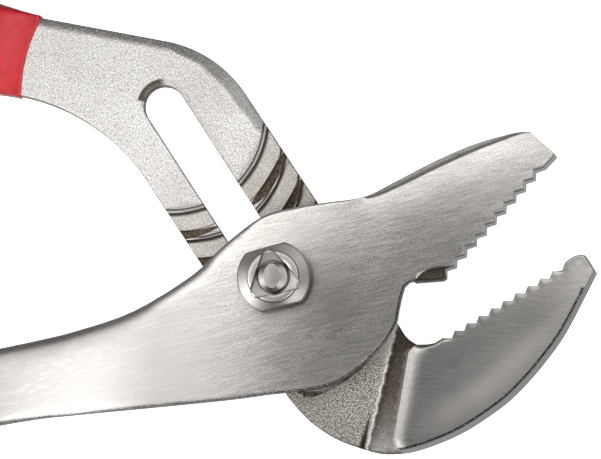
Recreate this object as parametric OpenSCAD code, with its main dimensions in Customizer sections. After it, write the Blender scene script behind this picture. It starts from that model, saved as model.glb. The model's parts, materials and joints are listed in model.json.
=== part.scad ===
// Groove-joint pliers: two forged levers on a bolt that slides along a slot.
// Units are millimetres. The origin lies on the pivot axis at the back face of the bolt's head.
// +X points to the jaws, +Y to the upper handle and +Z out of the front face.

/* [Levers] */
// Reach from the pivot axis to the tip of the lower jaw
lower_jaw_reach = 80; // [74:0.5:86]
// Reach from the pivot axis to the tip of the upper jaw
upper_jaw_reach = 70; // [66:0.5:74]
// Radius of the hub of the front lever
hub_r = 31; // [30:0.1:32.5]
// Thickness of the hub plate of the front lever
hub_t = 5.9; // [4.5:0.1:8]
// Thickness of the slotted arm, and of both handles
arm_t = 6.4; // [5:0.1:8]
// Radius about the pivot beyond which the upper jaw has its full thickness
jaw_back_r = 34.5; // [34:0.1:36]
// Angle of the ground bevel on the upper jaw, below the front face
bevel_angle = 42; // [30:1:60]

/* [Handles] */
// Reach from the pivot axis to the ends of the handles
handle_reach = 170; // [140:1:190]
// Reach at which the handles bend slightly inwards
handle_bow_reach = 100; // [90:1:110]
// Width of a handle where it bends inwards
handle_bow_w = 18.2; // [15:0.1:20]
// Width of a handle at its end
handle_end_w = 16; // [13:0.5:18]
// Corner radius of a handle's end
handle_end_r = 6; // [2:0.5:6.4]
// Height of the upper handle's middle where it bends inwards
rear_bow_rise = 64.4; // [60:0.1:68]
// Height of the upper handle's middle at its end
rear_end_rise = 70; // [62:0.5:80]
// Depth of the lower handle's middle where it bends inwards
front_bow_drop = 32; // [29:0.5:36]
// Depth of the lower handle's middle at its end
front_end_drop = 44; // [34:0.5:54]
// Reach at which the front of the lower handle starts to step back
crank_front_reach = 30; // [24:1:40]
// Reach at which the back of the lower handle starts to step back
crank_back_reach = 46; // [45:1:52]
// Reach at which the lower handle has stepped back to the level of the upper one
crank_end_reach = 74; // [68:1:78]

/* [Slot and grooves] */
// Angle of the slot, below the horizontal
slot_angle = 57.1; // [55:0.1:59]
// Number of grooves
groove_count = 7; // [3:1:7]
// Distance from one groove to the next, along the slot
groove_pitch = 8; // [7:0.1:8.4]
// Width of the arm's rail on the jaws' side of the slot
outer_rail_w = 13.4; // [12:0.05:14.2]
// Width of the arm's rail on the handles' side of the slot
inner_rail_w = 8.9; // [7:0.05:10]
// Depth of a groove below the arm's face
groove_depth = 2; // [1.8:0.1:3]
// Depth of the land inside a groove
land_depth = 0.8; // [0.4:0.1:1.2]
// Width of the land inside a groove
land_w = 4.3; // [3:0.1:4.6]
// Width of the sloping wall outside a groove
groove_slope_w = 1.3; // [0.8:0.1:1.4]
// Radial thickness of the tongue on the front lever
tongue_w = 1.8; // [1.4:0.1:2]
// Height of the tongue
tongue_h = 1.6; // [1:0.1:1.7]
// Distance from the hub's radius in to the tongue
tongue_inset = 0.8; // [0.6:0.1:1.2]

/* [Teeth] */
// Distance from one tooth of the upper jaw to the next
upper_tooth_pitch = 3.66; // [3:0.02:4.4]
// Distance from one tooth of the lower jaw to the next
lower_tooth_pitch = 3.55; // [3:0.02:4.4]
// Depth of a tooth
tooth_depth = 1.25; // [0.8:0.05:1.6]

/* [Pivot] */
// Diameter of the bolt's head
bolt_head_d = 18; // [15:0.5:21]
// Thickness of the bolt's head
bolt_head_t = 1.8; // [1.2:0.1:3]
// Diameter of the bolt's shank, in the slot and in the front lever's bore
shank_d = 10; // [9:0.1:11]
// Diameter of the bolt's threaded end
thread_d = 8; // [6:0.5:8.5]
// Height of the threaded end above the nut's collar
thread_proud = 0.5; // [0.2:0.1:1.5]
// Chamfer on the threaded end
thread_chamfer = 1.5; // [0.5:0.1:1.8]
// Diameter of the nut
nut_d = 18.4; // [17:0.1:20]
// Width of the nut across its two flats
nut_flats_w = 15.4; // [14.5:0.1:16.8]
// Angle of the nut's flats above the horizontal
nut_angle = 16; // [0:1:90]
// Thickness of the nut at its rim
nut_rim_t = 2.2; // [1.5:0.1:3]
// Rise of the nut's bevelled top from its rim to its collar
nut_bevel_h = 1.1; // [0.5:0.1:1.5]
// Outer diameter of the collar on the nut
collar_d = 13; // [12:0.1:14]
// Height of the collar above the bevelled top
collar_h = 1; // [0.4:0.1:1.6]

/* [Grips] */
// Thickness of a grip's wall
grip_t = 1.9; // [1:0.1:2.5]
// Reach of the upper grip's mouth
rear_grip_reach = 61; // [60:0.5:72]
// Reach of the lower grip's mouth
front_grip_reach = 79; // [79:0.5:90]

/* [Fits] */
// Gap between flat faces that slide on each other
face_gap = 0.1; // [0.05:0.05:0.3]
// Clearance between the bolt's shank and each side of the slot
slot_clear = 0.05; // [0.02:0.01:0.1]
// Radial clearance of the bolt's shank in the front lever's bore
bore_clear = 0.05; // [0.02:0.01:0.1]
// Radial clearance of the tongue in a groove
tongue_clear = 0.25; // [0.15:0.05:0.4]
// Radial clearance of the threaded end in the nut
thread_clear = 0.05; // [0.02:0.01:0.1]

/* [Hidden] */
$fn = 72;

// Pieces of a smooth curve between two of its points, and of a rounded corner
curve_steps = 4;
corner_steps = 10;
// Length by which every cut runs past the solid that it cuts
overrun = 1;

// Levels, from the back of the bolt's head to the front faces of the jaws
rear_back_z = bolt_head_t + face_gap;
mate_z = rear_back_z + arm_t;
front_back_z = mate_z + face_gap;
face_z = front_back_z + hub_t;
nut_z = face_z + face_gap;
collar_z = nut_z + nut_rim_t + nut_bevel_h;
bolt_end_z = collar_z + collar_h + thread_proud;
reach_all = handle_reach + lower_jaw_reach;

// The slot's frame: along points up the slot, across to the jaws' side
along = [-cos(slot_angle), sin(slot_angle)];
across = [sin(slot_angle), cos(slot_angle)];
slot_w = shank_d + 2 * slot_clear;
slot_travel = (groove_count - 1) * groove_pitch;
outer_edge = slot_w / 2 + outer_rail_w;
inner_edge = -slot_w / 2 - inner_rail_w;

// Corners where the arm bends into the upper handle, above the slot's top end
bend_outer_rise = 8.4;
bend_inner_rise = 9.8;
bend_outer_r = 30;
bend_inner_r = 50;
// Length of the slot past the bolt at the lower and at the upper end of its travel
slot_low_spare = 1;
slot_high_spare = 3.8;

// Radii of the tongue and of the groove that takes it
tongue_outer_r = hub_r - tongue_inset;
tongue_inner_r = tongue_outer_r - tongue_w;
groove_outer_r = tongue_outer_r + tongue_clear;
groove_inner_r = tongue_inner_r - tongue_clear;
tongue_start = -50;
tongue_sweep = 28;
groove_sweep = 150;

// Lower jaw, as shares of its reach: throat, first tooth, tip and rounded back down to the arm
throat_shares = [[0.380, -0.141], [0.405, -0.178], [0.442, -0.204], [0.474, -0.208], [0.501, -0.204]];
lower_tooth_shares = [0.525, -0.189];
lower_row_share = 0.4;
lower_tooth_angle = 31.6;
lower_lean_share = 0.55;
tip_shares = [[0.894, 0.021], [0.904, 0.046], [0.925, 0.063], [0.948, 0.072], [0.966, 0.070]];
back_shares = [[0.997, 0.022], [0.969, -0.034], [0.898, -0.169], [0.829, -0.265], [0.759, -0.344],
    [0.690, -0.404], [0.575, -0.478], [0.451, -0.528], [0.375, -0.541], [0.305, -0.536],
    [0.193, -0.498], [0.118, -0.451], [0.078, -0.414], [0.036, -0.364]];
// Ridge that parts the arm's face from the jaw's sloping flank
ridge_shares = [0.327, -0.354];
ridge_angle = 77;
flank_w = 5.2;
valley_depth = 1.2;
valley_w = 0.6;

// Upper jaw, as shares of its reach: top edge, tip, first tooth and throat
jaw_top_shares = [[0.207, 0.271], [0.319, 0.289], [0.434, 0.346], [0.571, 0.417], [0.709, 0.476],
    [0.846, 0.514], [0.907, 0.519]];
upper_tip_shares = [0.997, 0.439];
// End of the bevel's lower edge, on the jaw's tip
bevel_end_shares = [0.914, 0.511];
upper_tooth_shares = [0.640, 0.045];
upper_row_share = 0.472;
upper_tooth_angle = 48;
upper_lean_share = 0.41;
upper_throat_shares = [[0.605, 0.035], [0.605, 0.006], [0.595, -0.002], [0.546, -0.006], [0.503, -0.009],
    [0.478, -0.015], [0.462, -0.031], [0.453, -0.062], [0.442, -0.113]];
// Hollow ground into the front face above the throat
scoop_shares = [0.572, -0.022];
scoop_r = 4.6;
scoop_depth = 2.5;

// Hub and root of the lower handle, as shares of the hub's radius: rim as angle and radius, then edges
rim_shares = [[-20, 1.040], [-31, 1.017], [-45, 0.990], [-57, 0.974], [-67, 0.955], [-79, 0.923]];
handle_under_shares = [[-0.065, -0.932], [-0.361, -0.972], [-0.977, -1.033], [-1.597, -1.090],
    [-2.103, -1.140]];
handle_over_shares = [[-2.103, -0.520], [-1.597, -0.411], [-1.132, -0.258], [-0.669, 0.022],
    [-0.361, 0.303], [-0.084, 0.501], [0.206, 0.575]];

// Angle at which the handles meet the grips' mouths
rear_grip_angle = -14;
front_grip_angle = 10;

function unit(v) = v / norm(v);
function turned(v, a) = [v[0] * cos(a) - v[1] * sin(a), v[0] * sin(a) + v[1] * cos(a)];
function polar(r, a) = r * [cos(a), sin(a)];
function slot_point(up, side) = up * along + side * across;
function scaled(shares, size) = [for (s = shares) s * size];

// Point of a smooth curve between b and c, with a and d as its neighbours
function blend(a, b, c, d, t) = (2 * b + (c - a) * t + (2 * a - 5 * b + 4 * c - d) * t * t
    + (3 * b - a - 3 * c + d) * t * t * t) / 2;
function curve(p) = let (last = len(p) - 1) concat(
    [for (i = [0 : last - 1], s = [0 : curve_steps - 1])
        blend(p[max(i - 1, 0)], p[i], p[i + 1], p[min(i + 2, last)], s / curve_steps)],
    [p[last]]);

// Arc of radius r that rounds the corner at here
function corner(before, here, after, r) = let (
    u = unit(before - here),
    v = unit(after - here),
    half = acos(u * v) / 2,
    middle = here + unit(u + v) * r / sin(half),
    start = here + u * r / tan(half) - middle,
    finish = here + v * r / tan(half) - middle,
    turn = sign(cross(start, finish)) * (180 - 2 * half)
) [for (i = [0 : corner_steps]) middle + turned(start, turn * i / corner_steps)];

// Row of as many teeth as fit in its length, from its first crest along angle a; into is the jaw's side
function teeth(first, a, length, pitch, lean_share, into) = let (last = floor(length / pitch))
    [for (i = [0 : last], s = [0 : 1]) if (s == 0 || i < last)
        first + turned([(i + s * lean_share) * pitch, into * s * tooth_depth], a)];
function reversed(p) = [for (i = [len(p) - 1 : -1 : 0]) p[i]];
function ease(t) = t * t * (3 - 2 * t);

// Ends of the handles, as the middle point and the two edges there
rear_bow = [-handle_bow_reach, rear_bow_rise];
rear_end = [-handle_reach, rear_end_rise];
front_bow = [-handle_bow_reach, -front_bow_drop];
front_end = [-handle_reach, -front_end_drop];
bow_half = [0, handle_bow_w / 2];
end_half = [0, handle_end_w / 2];
bow_r = handle_reach;

bend_outer = slot_point(slot_travel + bend_outer_rise, outer_edge);
bend_inner = slot_point(slot_travel + bend_inner_rise, inner_edge);
throat = scaled(throat_shares, lower_jaw_reach);
back = scaled(back_shares, lower_jaw_reach);

// Upper handle, from the arm's outer bend round its end to the inner bend
rear_handle = concat(
    corner(bend_outer, rear_bow + bow_half, rear_end + end_half, bow_r),
    corner(rear_bow + bow_half, rear_end + end_half, rear_end - end_half, handle_end_r),
    corner(rear_end + end_half, rear_end - end_half, rear_bow - bow_half, handle_end_r),
    corner(rear_end - end_half, rear_bow - bow_half, bend_inner, bow_r));

// Straight part of the upper handle, which the grip covers
rear_core = concat([bend_outer], rear_handle, [bend_inner]);

rear_outline = concat(
    reversed(corner(rear_bow + bow_half, bend_outer, throat[0], bend_outer_r)),
    rear_handle,
    corner(rear_bow - bow_half, bend_inner, back[len(back) - 1], bend_inner_r),
    reversed(curve(back)),
    reversed(scaled(tip_shares, lower_jaw_reach)),
    reversed(teeth(lower_tooth_shares * lower_jaw_reach, lower_tooth_angle,
        lower_row_share * lower_jaw_reach, lower_tooth_pitch, lower_lean_share, -1)),
    reversed(curve(throat)));

// Lower handle, from its root under the hub round its end to its root above
front_handle = concat(
    curve(concat(scaled(handle_under_shares, hub_r), [front_bow - bow_half])),
    corner(front_bow - bow_half, front_end - end_half, front_end + end_half, handle_end_r),
    corner(front_end - end_half, front_end + end_half, front_bow + bow_half, handle_end_r),
    curve(concat([front_bow + bow_half], scaled(handle_over_shares, hub_r))));

front_outline = concat(
    front_handle,
    curve(scaled(jaw_top_shares, upper_jaw_reach)),
    [upper_tip_shares * upper_jaw_reach],
    reversed(teeth(upper_tooth_shares * upper_jaw_reach, upper_tooth_angle,
        upper_row_share * upper_jaw_reach, upper_tooth_pitch, upper_lean_share, 1)),
    scaled(upper_throat_shares, upper_jaw_reach),
    curve([for (s = rim_shares) polar(s[1] * hub_r, s[0])]));

// One edge of the lower handle's step back, seen from the side
function crank(from, z_from, z_to) = [for (i = [0 : corner_steps]) let (t = i / corner_steps)
    [-from - (crank_end_reach - from) * t, z_from + (z_to - z_from) * ease(t)]];
crank_outline = concat(
    [[reach_all, face_z]],
    crank(crank_front_reach, face_z, mate_z),
    [[-reach_all, mate_z], [-reach_all, rear_back_z]],
    reversed(crank(crank_back_reach, front_back_z, rear_back_z)),
    [[reach_all, front_back_z]]);

// Plate of an outline between two levels
module plate(outline, low, high) {
    translate([0, 0, low]) linear_extrude(high - low) polygon(outline);
}

// Half space to the right of a line through place at angle a, as a tall block
module right_of(place, a) {
    translate(place) rotate([0, 0, a - 90])
        translate([0, -reach_all, -overrun]) cube([2 * reach_all, 2 * reach_all, face_z + 2 * overrun]);
}

// Bar of a side profile that runs from place along angle a; the profile's first axis points right of it
module bar(place, a, length, profile) {
    translate(place) rotate([0, 0, a - 90]) translate([0, length, 0]) rotate([90, 0, 0])
        linear_extrude(length) polygon(profile);
}

// Slot with round ends, with a spare length past the bolt at each end of its travel
module slot() {
    low = slot_point(-slot_low_spare, 0);
    straight = slot_travel + slot_low_spare + slot_high_spare;
    cut_h = arm_t + 2 * overrun;
    translate([low[0], low[1], rear_back_z - overrun]) rotate([0, 0, -slot_angle]) {
        cylinder(h = cut_h, d = slot_w);
        translate([-straight, 0, 0]) cylinder(h = cut_h, d = slot_w);
        translate([-straight, -slot_w / 2, 0]) cube([straight, slot_w, cut_h]);
    }
}

// One groove about the bolt's place: a land, the deep ring for the tongue and a sloping outer wall
module groove(place) {
    translate([place[0], place[1], mate_z]) rotate([0, 0, -slot_angle - groove_sweep / 2])
        rotate_extrude(angle = groove_sweep) polygon([
            [groove_inner_r - land_w, overrun],
            [groove_inner_r - land_w, -land_depth],
            [groove_inner_r, -land_depth],
            [groove_inner_r, -groove_depth],
            [groove_outer_r, -groove_depth],
            [groove_outer_r + groove_slope_w, 0],
            [groove_outer_r + groove_slope_w, overrun]]);
}

// Lever behind: slotted arm, neck, lower jaw and upper handle in one forging
module rear_lever() {
    ridge = ridge_shares * lower_jaw_reach;
    flank_slope = (hub_t + face_gap + valley_depth) / (flank_w - valley_w);
    color("gainsboro") difference() {
        union() {
            plate(rear_outline, rear_back_z, mate_z);
            intersection() {
                plate(rear_outline, rear_back_z, face_z);
                right_of(ridge + turned([valley_w, 0], ridge_angle - 90), ridge_angle);
            }
        }
        slot();
        for (i = [0 : groove_count - 1]) groove(slot_point(i * groove_pitch, 0));
        bar(ridge - polar(reach_all, ridge_angle), ridge_angle, 2 * reach_all, [
            [-overrun * valley_w / valley_depth, face_z + overrun],
            [-overrun * valley_w / valley_depth, mate_z + overrun],
            [valley_w, mate_z - valley_depth],
            [flank_w + overrun / flank_slope, face_z + overrun]]);
    }
}

// Lever in front: hub, tongue, upper jaw and lower handle in one forging
module front_lever() {
    bevel_start = jaw_top_shares[1] * upper_jaw_reach;
    bevel_end = bevel_end_shares * upper_jaw_reach;
    bevel_line = bevel_end - bevel_start;
    bevel_w = upper_jaw_reach - norm(bevel_start);
    scoop = scoop_shares * upper_jaw_reach;
    color("silver") difference() {
        union() {
            intersection() {
                plate(front_outline, rear_back_z, face_z);
                rotate([90, 0, 0]) linear_extrude(2 * reach_all, center = true) polygon(crank_outline);
            }
            difference() {
                intersection() {
                    plate(front_outline, rear_back_z, front_back_z);
                    right_of([0, 0], 90);
                }
                translate([0, 0, -overrun]) cylinder(h = face_z, r = jaw_back_r);
            }
            translate([0, 0, front_back_z - tongue_h]) rotate([0, 0, tongue_start])
                rotate_extrude(angle = tongue_sweep)
                    translate([tongue_inner_r, 0]) square([tongue_w, tongue_h]);
        }
        translate([0, 0, front_back_z - overrun])
            cylinder(h = hub_t + 2 * overrun, d = shank_d + 2 * bore_clear);
        translate([scoop[0], scoop[1], face_z + scoop_r - scoop_depth]) sphere(r = scoop_r);
        bar(bevel_start, atan2(bevel_line[1], bevel_line[0]), upper_jaw_reach, [
            [0, face_z],
            [-bevel_w, face_z - bevel_w * tan(bevel_angle)],
            [-bevel_w, face_z + overrun],
            [0, face_z + overrun]]);
    }
}

// Bolt: low head behind the arm, round shank through slot and bore, and a threaded end
module pivot_bolt() {
    color("lightgray") {
        cylinder(h = bolt_head_t, d = bolt_head_d);
        cylinder(h = face_z, d = shank_d);
        cylinder(h = bolt_end_z - thread_chamfer, d = thread_d);
        translate([0, 0, bolt_end_z - thread_chamfer])
            cylinder(h = thread_chamfer, d1 = thread_d, d2 = thread_d - 2 * thread_chamfer);
    }
}

// Nut: round with two flats, a bevelled top and a raised collar round the threaded end
module pivot_nut() {
    bore = thread_d / 2 + thread_clear;
    color("silver") translate([0, 0, nut_z]) intersection() {
        rotate_extrude() polygon([
            [bore, 0],
            [nut_d / 2, 0],
            [nut_d / 2, nut_rim_t],
            [collar_d / 2, nut_rim_t + nut_bevel_h],
            [collar_d / 2, nut_rim_t + nut_bevel_h + collar_h],
            [bore, nut_rim_t + nut_bevel_h + collar_h]]);
        rotate([0, 0, nut_angle])
            translate([-nut_d, -nut_flats_w / 2, -overrun])
                cube([2 * nut_d, nut_flats_w, collar_z]);
    }
}

// Dipped grip round the end of a handle, from its mouth to the handle's end
module grip(outline, mouth, a) {
    difference() {
        translate([0, 0, rear_back_z - grip_t]) linear_extrude(arm_t + 2 * grip_t)
            offset(r = grip_t) polygon(outline);
        plate(outline, rear_back_z, mate_z);
        right_of(mouth, 90 + a);
    }
}

module rear_grip() {
    mouth = [-rear_grip_reach, rear_bow_rise - handle_bow_w / 2];
    color("firebrick") grip(rear_core, mouth, rear_grip_angle);
}

module front_grip() {
    mouth = [-front_grip_reach, -front_bow_drop];
    color("firebrick") grip(front_handle, mouth, front_grip_angle);
}

rear_lever();
front_lever();
pivot_bolt();
pivot_nut();
rear_grip();
front_grip();
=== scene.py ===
"""Slip joint pliers of the groove-joint kind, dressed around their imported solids."""
import json
import math

import bpy
import numpy as np
from mathutils import Matrix, Vector, geometry, kdtree


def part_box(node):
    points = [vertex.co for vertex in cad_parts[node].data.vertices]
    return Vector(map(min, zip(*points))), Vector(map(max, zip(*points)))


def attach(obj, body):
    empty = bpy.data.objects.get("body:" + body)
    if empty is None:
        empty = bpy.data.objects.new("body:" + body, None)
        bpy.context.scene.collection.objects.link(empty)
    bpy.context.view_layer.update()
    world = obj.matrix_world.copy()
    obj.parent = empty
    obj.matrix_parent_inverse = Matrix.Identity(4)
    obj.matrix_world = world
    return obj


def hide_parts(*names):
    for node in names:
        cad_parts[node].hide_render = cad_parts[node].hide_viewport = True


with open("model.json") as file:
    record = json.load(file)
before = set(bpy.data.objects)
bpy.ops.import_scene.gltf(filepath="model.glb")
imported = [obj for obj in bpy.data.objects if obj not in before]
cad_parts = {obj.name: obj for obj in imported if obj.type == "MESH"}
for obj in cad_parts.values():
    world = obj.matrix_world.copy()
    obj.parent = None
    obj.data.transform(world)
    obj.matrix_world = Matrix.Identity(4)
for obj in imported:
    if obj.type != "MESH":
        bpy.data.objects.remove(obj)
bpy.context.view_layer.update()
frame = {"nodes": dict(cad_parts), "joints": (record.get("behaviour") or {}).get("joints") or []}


# Rear lever: one drop forging of tool steel, grit blasted and nickel plated all over.
# Its slot and arc grooves are milled into the arm, and its lower jaw is ground bright
# on a belt after plating.
MM = 0.001
NEAR = 0.05
UPRIGHT = 0.1
NO_AREA = 1e-9
ROUNDED = 3


def wall_loops(node, side):
    """Loops of (x, y) in millimetres where a solid's upright walls end at its front or its back."""
    mesh = frame["nodes"][node].data
    mesh.calc_loop_triangles()
    places = np.array([v.co for v in mesh.vertices]) / MM
    places, index = np.unique(places.round(ROUNDED), axis=0, return_inverse=True)
    corners = index.ravel()[[list(t.vertices) for t in mesh.loop_triangles]]
    a, b, c = (places[corners[:, k]] for k in range(3))
    normals = np.cross(b - a, c - a)
    areas = np.linalg.norm(normals, axis=1)
    solid = areas > NO_AREA
    owner = {}
    for triangle, tilt in zip(corners[solid], normals[solid, 2] / areas[solid]):
        for k in range(3):
            owner[triangle[k], triangle[k - 2]] = tilt
    follows = {
        i: j
        for (i, j), tilt in owner.items()
        if tilt * side > 2 * UPRIGHT and abs(owner.get((j, i), 1)) < UPRIGHT
    }
    loops = []
    while follows:
        loop = [next(iter(follows))]
        while loop[-1] in follows:
            loop.append(follows.pop(loop[-1]))
        loops.append(places[loop[:-1], :2][::side])
    return sorted(loops, key=len, reverse=True)


def across_2d(a, b):
    """The z part of the cross product of flat vectors."""
    return a[..., 0] * b[..., 1] - a[..., 1] * b[..., 0]


SHARP_TURN = 26
STRAIGHT_RATIO = 3


def smooth_loop(corners, spacing):
    """A loop resampled along a smooth curve that keeps its sharp corners and straight sides."""
    gaps = np.linalg.norm(corners - np.roll(corners, 1, 0), axis=1)
    corners = corners[gaps > NEAR]
    ahead = np.roll(corners, -1, 0) - corners
    length = np.linalg.norm(ahead, axis=1)[:, None]
    ahead = ahead / length
    behind = np.roll(ahead, 1, 0)
    length_behind = np.roll(length, 1, 0)
    turn = np.degrees(np.arctan2(across_2d(behind, ahead), (behind * ahead).sum(1)))
    through = behind * length + ahead * length_behind
    through = np.where(length > STRAIGHT_RATIO * length_behind, ahead, through)
    through = np.where(length_behind > STRAIGHT_RATIO * length, behind, through)
    through = through / np.linalg.norm(through, axis=1)[:, None]
    sharp = (np.abs(turn) > SHARP_TURN)[:, None]
    leaving = np.where(sharp, ahead, through) * length
    arriving = np.roll(np.where(sharp, behind, through), -1, 0) * length
    loop = []
    for start, end, out, back, size in zip(corners, np.roll(corners, -1, 0), leaving, arriving, length):
        steps = max(1, math.ceil(size[0] / spacing((start + end) / 2)))
        t = (np.arange(steps) / steps)[:, None]
        loop.append(
            (1 + 2 * t) * (1 - t) ** 2 * start + t * (1 - t) ** 2 * out
            + t * t * (3 - 2 * t) * end + t * t * (t - 1) * back
        )
    return np.vstack(loop)


def flat_tree(points):
    """A search tree over flat points."""
    tree = kdtree.KDTree(len(points))
    for i, (x, y) in enumerate(points):
        tree.insert((x, y, 0), i)
    tree.balance()
    return tree


class Rim:
    """A piece's closed outline: one outer loop, and holes that run the other way round."""

    def __init__(self, loops):
        ends = np.cumsum([0] + [len(loop) for loop in loops])
        runs = [np.arange(first, last) for first, last in zip(ends, ends[1:])]
        self.points = np.vstack(loops)
        self.before = np.concatenate([np.roll(run, 1) for run in runs])
        self.after = np.concatenate([np.roll(run, -1) for run in runs])
        self.tree = flat_tree(self.points)

    def inward(self):
        """The direction into the piece at each rim point."""
        run = self.points[self.after] - self.points[self.before]
        run = run / np.linalg.norm(run, axis=1)[:, None]
        return np.column_stack([-run[:, 1], run[:, 0]])

    def nearest(self, points):
        """Distance of each point to the rim, with the side that is nearest and how far along it."""
        near = np.array([self.tree.find((x, y, 0))[1] for x, y in points], int)
        best = np.full(len(points), np.inf)
        side = near.copy()
        share = np.zeros(len(points))
        for starts in (near, self.before[near]):
            run = self.points[self.after[starts]] - self.points[starts]
            away = points - self.points[starts]
            t = ((away * run).sum(1) / (run**2).sum(1)).clip(0, 1)
            gaps = np.linalg.norm(away - t[:, None] * run, axis=1)
            closer = gaps < best
            best = np.where(closer, gaps, best)
            side = np.where(closer, starts, side)
            share = np.where(closer, t, share)
        return best, side, share

    def gaps(self, points):
        """Distance of each point to the rim."""
        return self.nearest(points)[0]

    def between(self, values, side, share):
        """Values that are given at the rim's points, read part of the way along its sides."""
        share = share[:, None]
        return values[side] * (1 - share) + values[self.after[side]] * share

    def holds(self, points):
        """Whether each point lies inside the outer loop and outside the holes."""
        order = points[:, 1].argsort()
        heights = points[order, 1]
        inside = np.zeros(len(points), bool)
        for (x0, y0), (x1, y1) in zip(self.points, self.points[self.after]):
            low, high = np.searchsorted(heights, sorted((y0, y1)))
            rows = order[low:high]
            crossing = x0 + (points[rows, 1] - y0) * (x1 - x0) / ((y1 - y0) or 1)
            inside[rows] ^= points[rows, 0] < crossing
        return inside


def hex_grid(low, high, step):
    """Points of a hexagonal grid over a box."""
    rows = np.arange(low[1], high[1], step * math.sqrt(3) / 2)
    columns = np.arange(low[0], high[0], step)
    x, y = np.meshgrid(columns, rows)
    x = x + (np.arange(len(rows)) % 2)[:, None] * step / 2
    return np.column_stack([x.ravel(), y.ravel()])


def thin_out(points, others, room):
    """The points that keep some room to the others."""
    tree = flat_tree(others)
    return np.array([p for p in points if not tree.find_range((*p, 0), room)]).reshape(-1, 2)


ANCHOR_POWER = 3


def from_anchors(points, anchors):
    """Values at points, blended from the values of the nearest anchors."""
    places = np.array([a[:2] for a in anchors], float)
    values = np.array([a[2:] for a in anchors], float)
    gaps = ((points[:, None] - places) ** 2).sum(2) + NEAR
    weights = gaps**-ANCHOR_POWER
    return (weights @ values) / weights.sum(1)[:, None]


def edge_drop(away, width, depth, bevel_share):
    """How far a rolled edge lies below its face at a distance from the rim, round or more of a bevel."""
    share = (1 - away / width).clip(0, 1)
    return depth * ((1 - bevel_share) * (1 - np.sqrt(1 - share**2)) + bevel_share * share)


def paint(piece, name, values):
    """Stores one number per vertex, for the piece's material to read."""
    layer = piece.data.attributes.new(name, "FLOAT", "POINT")
    layer.data.foreach_set("value", np.asarray(values, np.float32))


def painted(piece, name):
    """The numbers that were stored with the vertices."""
    return np.array([d.value for d in piece.data.attributes[name].data])


def places_of(piece):
    """The piece's vertices in millimetres."""
    return np.array([v.co for v in piece.data.vertices]) / MM


def new_piece(name, verts, faces, crease):
    """A smooth mesh object from points in millimetres, sharp where its faces turn by more than a crease."""
    mesh = bpy.data.meshes.new(name)
    mesh.from_pydata(np.array(verts) * MM, [], faces)
    mesh.validate()
    mesh.shade_smooth()
    mesh.set_sharp_from_angle(angle=math.radians(crease))
    piece = bpy.data.objects.new(name, mesh)
    bpy.context.scene.collection.objects.link(piece)
    return piece


ROLL_STEPS = np.radians([18, 36, 54, 72, 90])
OUTER_RING = 1.5
RING_CLEAR = 0.97
GRID_PAST_ROLL = 1.6
GRID_CLEAR = 0.6
MERGE_GAP = 1e-5
WALL_ROWS = 4
SKIN_CREASE = 29


def face_points(rim, width, marks, grid_step):
    """Points inside a rim: the rim itself, rings along its rolled edge, the marked lines and a grid."""
    rings = []
    for reach in [*(1 - np.cos(ROLL_STEPS)), OUTER_RING]:
        ring = rim.points + rim.inward() * (reach * width)[:, None]
        clear = rim.gaps(ring) > RING_CLEAR * reach * width
        rings.append(ring[clear & rim.holds(ring)])
    if len(marks):
        marks = marks[rim.holds(marks)]
        marks = marks[rim.gaps(marks) > 2 * NEAR]
    grid = hex_grid(rim.points.min(0), rim.points.max(0), grid_step)
    grid = grid[rim.holds(grid)]
    gaps, side, _ = rim.nearest(grid)
    grid = grid[gaps > GRID_PAST_ROLL * width[side] + GRID_CLEAR * grid_step]
    grid = thin_out(grid, marks, GRID_CLEAR * grid_step)
    return np.vstack([rim.points, *rings, marks, grid])


def face_triangles(rim, points):
    """Triangles over points inside a rim, and the places of the rim's own points among their corners."""
    edges = list(enumerate(rim.after.tolist()))
    flat, _, triangles, origin, _, _ = geometry.delaunay_2d_cdt(
        [Vector(p) for p in points], edges, [], 0, MERGE_GAP)
    flat = np.array(flat)
    place_of = {source: i for i, sources in enumerate(origin) for source in sources}
    triangles = np.array([t for t in triangles if len(t) == 3])
    triangles = triangles[rim.holds(flat[triangles].mean(1))]
    return flat, triangles, np.array([place_of[i] for i in range(len(rim.points))])


def skin(name, rim, rolls, front, back, back_roll, marks, grid_step):
    """A closed shell between a front and a back height over the area inside a rim, edges rolled."""
    roll = from_anchors(rim.points, rolls)
    flat, triangles, top = face_triangles(rim, face_points(rim, roll[:, 0], marks, grid_step))
    gaps, side, share = rim.nearest(flat)
    width, depth, bevel_share = rim.between(roll, side, share).T
    high = front(flat, gaps) - edge_drop(gaps, width, depth, bevel_share)
    low = back(flat) + edge_drop(gaps, np.minimum(width, back_roll), np.minimum(depth, back_roll), 0)
    low = np.where(low > high, (high + low) / 2, low)
    high = np.maximum(high, low)

    count = len(flat)
    verts = [np.column_stack([flat, high]), np.column_stack([flat, low])]
    rows = [top]
    for k in range(1, WALL_ROWS):
        down = k / WALL_ROWS
        verts.append(np.column_stack([flat[top], high[top] * (1 - down) + low[top] * down]))
        rows.append(2 * count + (k - 1) * len(top) + np.arange(len(top)))
    rows.append(top + count)
    faces = [*triangles.tolist(), *(triangles[:, ::-1] + count).tolist()]
    for upper, lower in zip(rows, rows[1:]):
        faces += np.column_stack([upper, lower, lower[rim.after], upper[rim.after]]).tolist()
    piece = new_piece(name, np.vstack(verts), faces, SKIN_CREASE)

    inward = rim.inward()
    paint(piece, "rim_gap", np.concatenate([gaps, gaps, np.zeros((WALL_ROWS - 1) * len(top))]))
    for label, facing in (("faces_down", inward[:, 1]), ("faces_right", -inward[:, 0])):
        paint(piece, label, np.concatenate([np.zeros(2 * count), np.tile(facing, WALL_ROWS - 1)]))
    return piece


def arc_points(centre, radius, start, sweep, spacing):
    """Points along an arc, angles in degrees."""
    count = max(2, math.ceil(radius * math.radians(abs(sweep)) / spacing))
    angles = np.radians(start + sweep * np.arange(count + 1) / count)
    return centre + radius * np.column_stack([np.cos(angles), np.sin(angles)])


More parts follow.
